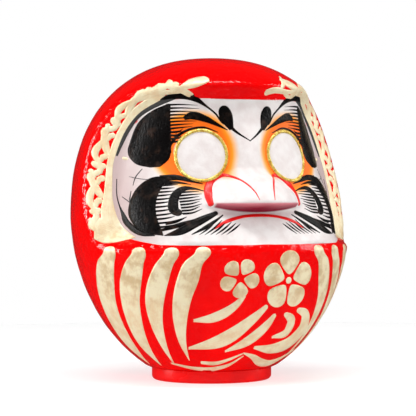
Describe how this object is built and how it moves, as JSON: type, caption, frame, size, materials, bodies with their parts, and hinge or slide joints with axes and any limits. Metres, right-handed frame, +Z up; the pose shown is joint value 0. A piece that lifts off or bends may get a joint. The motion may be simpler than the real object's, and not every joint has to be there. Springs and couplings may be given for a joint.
{
  "type": "daruma doll",
  "caption": "Egg-shaped hooded doll with a recessed painted face, hollow papier-mache body on a round weighted base ring; stands upright on a flat surface.",
  "frame": {"origin": "on the resting plane, under the middle of the doll", "axes": "+Z up, the doll faces -Y, its own left side is at +X"},
  "size_m": [0.2678, 0.2391, 0.3],
  "materials": {
    "red_paint": "gloss",
    "base_paint": "gloss",
    "face_white": "satin",
    "black_ink": "satin",
    "gold_paint": "satin",
    "paper": "matte",
    "clay": "matte"
  },
  "bodies": {
    "root": {"front_shell": "red_paint", "back_shell": "red_paint", "base_ring": "base_paint", "ballast": "clay", "bottom_paper": "paper", "seam_tape": "paper", "eye_rim_left": "gold_paint", "eye_rim_right": "gold_paint"}
  },
  "joints": []
}
